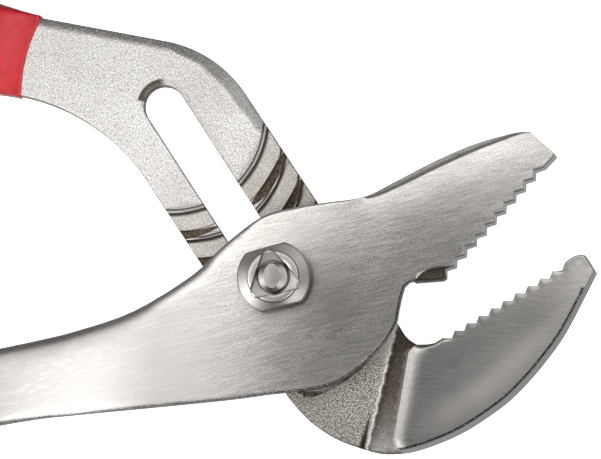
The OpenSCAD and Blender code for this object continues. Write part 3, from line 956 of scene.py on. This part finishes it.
front_rim = Rim([smooth_loop(loop, front_spacing) for loop in wall_loops("front_lever", 1)])
bevel_start, bevel_end = np.array([22.3, 19.7]), np.array([63.5, 36.3])
bevel_l = np.linalg.norm(bevel_end - bevel_start)
bevel_dir = (bevel_end - bevel_start) / bevel_l
bevel_out = np.array([-bevel_dir[1], bevel_dir[0]])
bevel_w, bevel_slope, bevel_hollow, bevel_hollow_w = 2.1, 0.29, 0.5, 0.35
bevel_root_power, bevel_tip_power = 0.35, 0.7
shoulder_w, shoulder_h, shoulder_start, shoulder_full = 7, 0.35, -14, 6
top_end, top_sag = 0.3, 0.4
on_chord = (front_rim.points - bevel_start) @ bevel_dir
off_chord = (front_rim.points - bevel_start) @ bevel_out
jaw_top = front_rim.points[(on_chord > top_end) & (on_chord < bevel_l - top_end) & (off_chord > -top_sag)]


def bevel_reach(points):
    """Width of the bevel along the jaw's top edge, which runs out at both ends."""
    t = ((points - bevel_start) @ bevel_dir / bevel_l).clip(0, 1)
    return bevel_w * (4 * t * (1 - t)) ** np.where(t < 0.5, bevel_root_power, bevel_tip_power)


def top_gap(points):
    """Distance to the jaw's top edge."""
    return np.sqrt(((points[:, None] - jaw_top) ** 2).sum(2).min(1))


grind_angle = math.radians(11)
grind_across = np.array([-math.sin(grind_angle), math.cos(grind_angle)])
face_crown_r, crown_start, crown_full = 380, -60, -20


def front_front(points, rim_gap):
    """Height of the front lever's ground face, with crank, shoulder, bevel and scoop."""
    z = crank(points, crank_front, face, arm_face)
    crowned = smooth_step(crown_start, crown_full, points[:, 0])
    z = z - (points @ grind_across) ** 2 / (2 * face_crown_r) * crowned
    s = bevel_reach(points) - top_gap(points)
    in_reach = smooth_step(shoulder_start, shoulder_full, (points - bevel_start) @ bevel_dir)
    z = z - shoulder_h * (1 + s / shoulder_w).clip(0, 1) ** 2 * in_reach
    bevel = bevel_slope * s + bevel_hollow * (1 - np.exp(-s.clip(0) / bevel_hollow_w))
    z = z - np.where(s > 0, bevel, 0)
    away = scoop_away(points)
    hollow = face + scoop_lift - np.sqrt((scoop_r**2 - away).clip(0))
    return np.where(away < scoop_r**2, np.minimum(z, hollow), z)


nut_r, nut_half_w = 9.2, 7.7
nut_angle = math.radians(16)


def nut_radius(angles):
    """Radius of the nut's round outline with its two parallel flats."""
    return np.minimum(nut_r, nut_half_w / np.abs(np.sin(angles - nut_angle)).clip(NEAR))


def nut_outline(angles, outside):
    """Points along the nut's outline at some distance outside it."""
    return (nut_radius(angles) + outside)[:, None] * np.column_stack([np.cos(angles), np.sin(angles)])


front_rolls = [
    (-150, -32, 3.0, 2.2, 0), (-100, -24, 4.0, 2.0, 0), (-60, -16, 5.0, 1.7, 0), (-40, -11, 5.0, 1.6, 0),
    (-22, 0, 3.6, 1.2, 0), (-12, 9, 2.0, 0.7, 0.2), (0, 16, 1.0, 0.5, 0), (14, 18.6, 0.6, 0.4, 0),
    (24, 21, 0.3, 0.2, 0), (45, 30, 0.15, 0.15, 0), (63, 36, 0.15, 0.15, 0), (69.8, 30.7, 0.3, 0.3, 0),
    (60, 21, 0.12, 0.12, 0), (50, 10, 0.12, 0.12, 0), (43, 1, 0.2, 0.2, 0), (36, -0.5, 0.4, 0.4, 0),
    (33, -3, 0.4, 0.5, 0.5), (30, -12, 0.5, 0.6, 0.5), (22, -21, 0.5, 0.6, 0.5), (12, -26.5, 0.5, 0.6, 0.5),
    (2, -28.5, 0.6, 0.3, 0), (-10, -30, 1.6, 0.4, 0), (-40, -33.5, 2.2, 0.5, 0), (-66, -36, 2.2, 0.6, 0),
    (-100, -41, 1.5, 1.3, 0), (-150, -49, 2.0, 1.8, 0),
    (5, 0, 0.4, 0.3, 0), (-5, 0, 0.4, 0.3, 0), (0, 5, 0.4, 0.3, 0), (0, -5, 0.4, 0.3, 0),
]
origin = np.zeros(2)
back_mark, scoop_mark, shadow_and_stain_degrees = 0.4, 0.3, 1.5
jaw_back_start, jaw_back_sweep = -12, 60
shadow_and_stain_start, shadow_and_stain_end = -100, 30
step_lines = [
    arc_points(origin, jaw_back_r + run, jaw_back_start, jaw_back_sweep, back_mark) for run in (0, step_run)
]
tongue_lines = [
    arc_points(origin, r + off, tongue_low - 1, tongue_high - tongue_low + 2, back_mark)
    for r in (tongue_in, tongue_out)
    for off in (-step_run / 2, step_run / 2)
]
top_run = np.gradient(jaw_top, axis=0)
top_in = np.column_stack([-top_run[:, 1], top_run[:, 0]]) / np.linalg.norm(top_run, axis=1)[:, None]
bevel_lines = [
    jaw_top + top_in * (bevel_reach(jaw_top) - s)[:, None]
    for s in (-5, -3.6, -2.4, -1.4, -0.6, 0, 0.15, 0.4, 0.8, 1.4)
]
scoop_lines = [
    scoop + arc_points(origin, r, 0, 360, scoop_mark) / scoop_stretch
    for r in (1, 1.7, 2.4, 3.0, 3.5, 3.8, 4.0, 4.3)
]
shadow_and_stain_turns = np.radians(np.arange(shadow_and_stain_start, shadow_and_stain_end, shadow_and_stain_degrees))
shadow_and_stain_lines = [nut_outline(shadow_and_stain_turns, outside) for outside in (0.1, 0.5, 1.0, 1.6, 2.6, 3.4)]
front_lever = skin(
    "front_lever_forging", front_rim, front_rolls, front_front, front_back, forged_roll,
    np.vstack([*step_lines, *tongue_lines, *bevel_lines, *scoop_lines, *shadow_and_stain_lines]), forged_grid)

scoop_edge, scoop_rim, hollow_fade = 0.4, 0.5, (0.1, 0.35)
raw_fade, under_fade, under_share, under_top = (0.6, 0.2), (0.9, 0.3), 0.7, -27
spots, gap = places_of(front_lever), painted(front_lever, "rim_gap")
flat = spots[:, :2]
x, y, z = spots.T
upper = z > mate_back
in_scoop = scoop_away(flat) < (scoop_r - scoop_edge) ** 2
paint(front_lever, "hollow", in_scoop * smooth_step(*hollow_fade, face - z) * upper)
rim_side = ((x > 0) & (y < 0)) | (in_scoop & (gap < scoop_rim))
under_side = (x <= 0) & (y < under_top)
raw, raw_under = smooth_step(*raw_fade, gap) * rim_side, smooth_step(*under_fade, gap) * under_side
paint(front_lever, "raw", np.maximum(raw, under_share * raw_under))

shadow_and_stain_side, shadow_and_stain_near, shadow_and_stain_far, shadow_and_stain_far_share = np.array([0.8, -0.6]), (1.5, 0.4), (3.2, 0.6), 0.4
dim_middle, dim_size = np.array([14, -5]), np.array([8, 10])
smooth_left, far_left = (-4, -30), (-36, -62)
r = np.linalg.norm(flat, axis=1)
nut_side = (flat @ shadow_and_stain_side / r.clip(1)).clip(0, 1)
nut_gap = r - nut_radius(np.arctan2(y, x))
shadow_and_stain = np.maximum(smooth_step(*shadow_and_stain_near, nut_gap), shadow_and_stain_far_share * smooth_step(*shadow_and_stain_far, nut_gap))
# Painted shadow that the nut casts to its lower right, with a fainter brown stain spreading further out.
paint(front_lever, "shadow_and_stain", shadow_and_stain * nut_side * upper)
# Painted shade on the face to the right of the nut.
paint(front_lever, "dim", np.exp(-(((flat - dim_middle) / dim_size) ** 2).sum(1)))
paint(front_lever, "smooth", smooth_step(*smooth_left, x))
paint(front_lever, "far", smooth_step(*far_left, x))

teeth_from, wall_fade = 1, (face - 2.5, face - 6)
wall_low = smooth_step(*wall_fade, z)
tooth_under = painted(front_lever, "faces_down").clip(0) * (y > teeth_from)
tooth_right = painted(front_lever, "faces_right").clip(0) * (y > teeth_from)
# Painted light on the upper teeth's walls that face right, and on the lower part of those that face down.
paint(front_lever, "tooth_wall", np.maximum(tooth_right, tooth_under * wall_low))
# Painted shade on the upper part of the upper teeth's down-facing walls.
paint(front_lever, "tooth_line", tooth_under * (1 - wall_low))
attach(front_lever, "front_half")
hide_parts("front_lever")

streak_dark, streak_light = (0.39, 0.373, 0.353), (0.76, 0.73, 0.696)
handle_tone, far_tone = (0.545, 0.528, 0.508), (0.40, 0.385, 0.368)
scratch_tone, cloud_tone = (0.86, 0.83, 0.79), (0.40, 0.38, 0.355)
shadow_and_stain_tone, dim_shade_tone = (0.09, 0.068, 0.053), (0.27, 0.255, 0.24)
raw_dark, raw_light = (0.07, 0.058, 0.046), (0.85, 0.83, 0.80)
down_wall_shade_tone, tooth_wall_light_tone, tooth_line_shade_tone = (0.14, 0.122, 0.105), (0.97, 0.95, 0.92), (0.03, 0.026, 0.022)
rust_dark, rust_light = (0.028, 0.02, 0.013), (0.16, 0.125, 0.09)


def ground_steel():
    """Belt-ground satin steel with crossing streaks, a painted shadow and stain round the nut, painted
    shade right of the nut and on walls that face down, painted light on the teeth's walls, and brown in the
    scoop.
    """
    material, tree, shader = finish_material("ground_steel")
    belt = brushed(tree, grind_angle, 4800.0, 0.03)
    crossed = brushed(tree, grind_angle + math.radians(9), 3400.0, 0.06)
    grain = blasted(tree, 3400.0)
    streaks = math_node(tree, "ADD", math_node(tree, "MULTIPLY", belt["Streaks"], 0.36),
                        math_node(tree, "MULTIPLY", crossed["Streaks"], 0.24))
    streaks = math_node(tree, "ADD", streaks, math_node(tree, "MULTIPLY", grain["Pits"], 0.4))
    tone = grade(tree, streaks, 0.42, 0.58, streak_dark, streak_light)
    tone = laid_over(tree, tone, [
        ("smooth", (0, 1, 0, 0.8), handle_tone), ("far", (0, 1, 0, 0.5), far_tone)])
    scratches = math_node(tree, "MAXIMUM", belt["Scratches"], crossed["Scratches"])
    tone = mix_colours(tree, math_node(tree, "MULTIPLY", scratches, 0.22), tone, scratch_tone)
    tone = mix_colours(tree, span(tree, crossed["Clouds"], 0.4, 0.7, 0, 0.3), tone, cloud_tone)
    speckled = grade(tree, grain["Pits"], 0.46, 0.62, raw_dark, raw_light)
    rust = grade(tree, grain["Pits"], 0.4, 0.62, rust_dark, rust_light)
    tone = laid_over(tree, tone, [
        ("shadow_and_stain", (0, 1, 0, 0.85), shadow_and_stain_tone),
        ("dim", (0, 1, 0, 0.5), dim_shade_tone),
        ("raw", (0, 1, 0, 1), speckled),
        # Painted shade on walls that face down.
        ("faces_down", (0.2, 0.8, 0, 0.6), down_wall_shade_tone),
        # Painted light on the upper teeth's walls.
        ("tooth_wall", (0.3, 0.8, 0, 0.8), tooth_wall_light_tone),
        # Painted shade along the tops of those walls.
        ("tooth_line", (0.2, 0.6, 0, 0.95), tooth_line_shade_tone),
        ("hollow", (0, 1, 0, 0.95), rust),
    ])
    rough = math_node(tree, "ADD", span(tree, streaks, 0.38, 0.62, 0.30, 0.38),
                      math_node(tree, "MULTIPLY", attribute(tree, "hollow"), 0.3))
    shallow = math_node(tree, "MULTIPLY", streaks, span(tree, attribute(tree, "smooth"), 0, 1, 1, 0.25))
    feed(tree, shader, tone, rough, bump(tree, shallow, 0.35, 0.03))
    shader.inputs["Metallic"].default_value = 1.0
    return material


front_lever.data.materials.append(ground_steel())


# Pivot nut: a round steel nut with two flats, screwed down on the bolt's end over the front lever.
# Three corners of a punch have staked its raised collar against the thread.
nut_low, nut_top = (corner.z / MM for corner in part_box("pivot_nut"))
nut_bore, nut_mark, nut_grid = 4.05, 0.3, 0.4
nut_rim_h, nut_cone_h = 1.75, 1.5
collar_in, collar_out, collar_rings = 4.3, 6.6, 9
punch_corners, punch_angle, punch_mark = 3, math.radians(102), 0.2
punch_r, punch_in, punch_wall = 7.1, 4.45, 0.25
punch_depth, punch_rise_share = 1.4, 0.35
nut_roll = 0.3
nut_rolls = [
    (9, 0, 0.35, 0.3, 0), (-9, 0, 0.35, 0.3, 0), (0, 9, 0.35, 0.3, 0), (0, -9, 0.35, 0.3, 0),
    (4, 0, 0.2, 0.2, 0), (-4, 0, 0.2, 0.2, 0), (0, 4, 0.2, 0.2, 0), (0, -4, 0.2, 0.2, 0),
]


def punch_way(corner):
    """The direction to one of the punch's corners, or to the middle of a side where it ends in a half."""
    angle = punch_angle + corner * 2 * math.pi / punch_corners
    return np.array([math.cos(angle), math.sin(angle)])


def punch_gap(points):
    """Distance inside the punch's triangle, below zero outside it."""
    gaps = [punch_in - points @ punch_way(k + 0.5) for k in range(punch_corners)]
    return np.minimum.reduce([*gaps, punch_r - np.linalg.norm(points, axis=1)])


def nut_front(points, rim_gap):
    """Height of the nut's cone, rounded collar and staked corners."""
    r = np.linalg.norm(points, axis=1)
    z = nut_low + nut_rim_h + nut_cone_h * ((nut_r - r) / (nut_r - collar_out)).clip(0, 1)
    middle, half = (collar_in + collar_out) / 2, (collar_out - collar_in) / 2
    bulge = np.sqrt((1 - ((r - middle) / half) ** 4).clip(0))
    z = z + (nut_top - nut_low - nut_rim_h - nut_cone_h) * bulge
    floor = nut_top - punch_depth * (1 - punch_rise_share * smooth_step(nut_bore, punch_r, r))
    return z - (z - floor).clip(0) * (punch_gap(points) / punch_wall).clip(0, 1)


def nut_back(points):
    """Height of the nut's flat underside."""
    return np.full(len(points), nut_low)


nut_rim = Rim([
    nut_outline(np.arange(0, 2 * math.pi, nut_mark / nut_r), 0),
    arc_points(origin, nut_bore, 0, -360, nut_mark)[:-1],
])
collar_circles = [
    arc_points(origin, r, 0, 360, nut_mark) for r in np.linspace(collar_in, collar_out, collar_rings)
]
punch_lines = [
    line_points(2 * r * punch_way(k), 2 * r * punch_way(k - 1), punch_mark)
    for k in range(punch_corners)
    for r in (punch_in, punch_in - punch_wall, punch_in - 2 * punch_wall)
]
pivot_nut = skin(
    "pivot_nut_staked", nut_rim, nut_rolls, nut_front, nut_back, nut_roll,
    np.vstack([*collar_circles, *punch_lines]), nut_grid)
pocket_edge, pocket_wall, pocket_floor, pocket_from = (0, 0.15), (0.7, 0.25), 0.25, 0.5
spots = places_of(pivot_nut)
into_punch = punch_gap(spots[:, :2])
pocket = pocket_floor + (1 - pocket_floor) * smooth_step(*pocket_wall, into_punch)
pocket = pocket * smooth_step(*pocket_edge, into_punch)
# The pocket paint is painted shade in the punch's pits, darkest on their walls.
paint(pivot_nut, "pocket", pocket * (spots[:, 2] > nut_low + pocket_from))
pivot_nut.data.materials.append(pivot_finish)
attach(pivot_nut, "pivot")
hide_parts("pivot_nut")


# Grips: red vinyl, dipped over the handles in one coat, so every edge is round and the mouth is thin.
# The coat runs out at a slanting mouth, where it is hardly proud of the steel.
grip_t, grip_roll, grip_run, grip_lip, grip_flat_h = 1.9, 3.2, 16, 0.45, 1.2
grip_mark, grip_grid, grip_half_w = 0.8, 2.0, 10
mouth_roll, mouth_back, mouth_bow, mouth_swell = 0.5, 0.8, 1.0, 2
vinyl_dark, vinyl_light, vinyl_edge_shade = (0.50, 0.012, 0.018), (0.60, 0.018, 0.026), (0.26, 0.004, 0.007)


def grip_spacing(place):
    """Rim spacing on the grips, the same all round."""
    return grip_mark


def red_vinyl():
    """Glossy dipped vinyl with a faint orange peel, with painted shade along its rolled edges."""
    material, tree, shader = finish_material("red_vinyl")
    place = add(tree, "ShaderNodeTexCoord").outputs["Object"]
    peel = noise(tree, place, 320.0, 2.0)
    tone = grade(tree, peel, 0.3, 0.7, vinyl_dark, vinyl_light)
    # Painted shade near the coat's rolled edges.
    tone = laid_over(tree, tone, [("rim_gap", (0.3, 1.3, 0.6, 0), vinyl_edge_shade)])
    feed(tree, shader, tone, span(tree, peel, 0.3, 0.7, 0.26, 0.36), bump(tree, peel, 0.05, 0.2))
    shader.inputs["Coat Weight"].default_value = 0.3
    shader.inputs["Coat Roughness"].default_value = 0.15
    return material


vinyl = red_vinyl()


def dipped_grip(name, node, mouth, mouth_angle):
    """One grip as a pillowed sleeve, thin at its slanting mouth."""
    low, high = (corner.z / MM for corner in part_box(node))
    mouth = np.array(mouth)
    a = math.radians(mouth_angle)
    outward, sideways = np.array([math.cos(a), math.sin(a)]), np.array([-math.sin(a), math.cos(a)])

    def thinness(points):
        """How much of the coat is missing near the mouth."""
        return (grip_t - grip_lip) * smooth_step(grip_run, 0, (mouth - points) @ outward)

    def front(points, rim_gap):
        """Height of the coat's front."""
        return high - thinness(points)

    def back(points):
        """Height of the coat's back."""
        return low + thinness(points)

    loop = smooth_loop(wall_loops(node, 1)[0], grip_spacing)
    side = ((loop - mouth) @ sideways / grip_half_w).clip(-1, 1)
    inward = (mouth - loop) @ outward
    pull = (mouth_back + mouth_bow * (1 - side**2)) * (1 - inward / grip_run).clip(0, 1)
    loop = loop - (thinness(loop) * side)[:, None] * sideways - pull[:, None] * outward
    swell = smooth_step(mouth_swell, grip_run, inward)
    roll_w = mouth_roll + (grip_roll - mouth_roll) * swell
    roll_h = mouth_roll + ((high - low) / 2 - grip_flat_h - mouth_roll) * swell
    rolls = [(x, y, w, h, 0) for (x, y), w, h in zip(loop[::3], roll_w[::3], roll_h[::3])]
    piece = skin(name, Rim([loop]), rolls, front, back, grip_roll, np.empty((0, 2)), grip_grid)
    piece.data.materials.append(vinyl)
    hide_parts(node)
    return piece


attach(dipped_grip("rear_grip_dipped", "rear_grip", (-61, 55.3), -14), "rear_half")
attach(dipped_grip("front_grip_dipped", "front_grip", (-79, -32), 10), "front_half")


# Stage: a pale floor, soft lights low round the pliers, and a far camera above them.
# To the camera the floor and the air are white, and in the steel's reflections they are grey.
stage_r, stage_sides = 12.0, 64
floor_seen, floor_mirrored, floor_glow, floor_roughness = (0.9,) * 3, (0.3,) * 3, (0.18,) * 3, 0.8
air_seen, air_mirrored = (1, 1, 1), (0.12, 0.12, 0.123)


def studio_floor():
    """A flat round floor."""
    angles = 2 * math.pi * np.arange(stage_sides) / stage_sides
    places = [(stage_r * math.cos(a), stage_r * math.sin(a), 0) for a in angles]
    mesh = bpy.data.meshes.new("studio_floor")
    mesh.from_pydata(places, [], [range(stage_sides)])
    floor = bpy.data.objects.new("studio_floor", mesh)
    bpy.context.scene.collection.objects.link(floor)
    material, tree, shader = finish_material("floor_white")
    seen = add(tree, "ShaderNodeLightPath").outputs["Is Camera Ray"]
    for label, mirrored in (("Base Color", floor_mirrored), ("Emission Color", floor_glow)):
        tree.links.new(mix_colours(tree, seen, mirrored, floor_seen), shader.inputs[label])
    shader.inputs["Roughness"].default_value = floor_roughness
    shader.inputs["Emission Strength"].default_value = 1.0
    mesh.materials.append(material)


studio_floor()


def aimed(place, target, upward):
    """A placing that looks from one point at another, with a given way up."""
    backward = (Vector(place) - Vector(target)).normalized()
    rightward = Vector(upward).cross(backward).normalized()
    turned = Matrix((rightward, backward.cross(rightward), backward)).transposed()
    return Matrix.Translation(place) @ turned.to_4x4()


def soft_light(name, place, target, long_side, size, power):
    """A soft rectangular light that points at a target, its long side along a direction."""
    light = bpy.data.lights.new(name, "AREA")
    light.shape = "RECTANGLE"
    light.size, light.size_y = size
    light.energy = power
    lamp = bpy.data.objects.new(name, light)
    lamp.matrix_world = aimed(place, target, long_side)
    bpy.context.scene.collection.objects.link(lamp)


soft_light("key_light", (-0.091, -0.020, 0.08), (-0.091, -0.020, 0), (0.1, 1, 0), (0.16, 0.10), 0.060)
soft_light("hub_light", (-0.024, 0.048, 0.10), (-0.024, 0.048, 0), (0, 1, 0), (0.06, 0.06), 0.022)
soft_light("top_light", (0.09, 0.118, 0.15), (0.09, 0.118, 0), (0, 1, 0), (0.18, 0.13), 0.138)
soft_light("fill_light", (0.25, -0.25, 0.35), (0, 0, 0), (0.7, 0.7, 0), (0.3, 0.3), 0.7)
soft_light("left_light", (-0.35, -0.18, 0.35), (-0.03, 0.03, 0), (0, 1, 0), (0.3, 0.3), 1.3)
soft_light("side_light", (0.16, 0.0, 0.20), (0.15, 0.0, 0), (0, 1, 0), (0.10, 0.16), 0.06)
world = bpy.data.worlds.new("studio_air")
world.use_nodes = True
air = world.node_tree
seen = add(air, "ShaderNodeLightPath").outputs["Is Camera Ray"]
air.links.new(mix_colours(air, seen, air_mirrored, air_seen), air.nodes["Background"].inputs["Color"])
bpy.context.scene.world = world
bpy.context.scene.view_settings.view_transform = "Standard"

image_w, pixels_per_mm = 601, 4.022
sensor_w, view_distance, view_end = 36, 5.0, 20
view_middle = Vector((6.55 * MM, 12.0 * MM, face * MM))
view_tilt = math.radians(6.5)
view_roll = (1 - math.cos(view_tilt)) / 2
sidestep = math.sin(view_tilt) / math.sqrt(2)
toward_camera = Vector((sidestep, -sidestep, math.cos(view_tilt)))
camera_data = bpy.data.cameras.new("camera")
camera_data.sensor_width = sensor_w
camera_data.lens = sensor_w * view_distance / (image_w / pixels_per_mm * MM)
camera_data.clip_end = view_end
camera = bpy.data.objects.new("camera", camera_data)
camera.matrix_world = aimed(view_middle + toward_camera * view_distance, view_middle, (-view_roll, 1, 0))
bpy.context.scene.collection.objects.link(camera)
bpy.context.scene.camera = camera
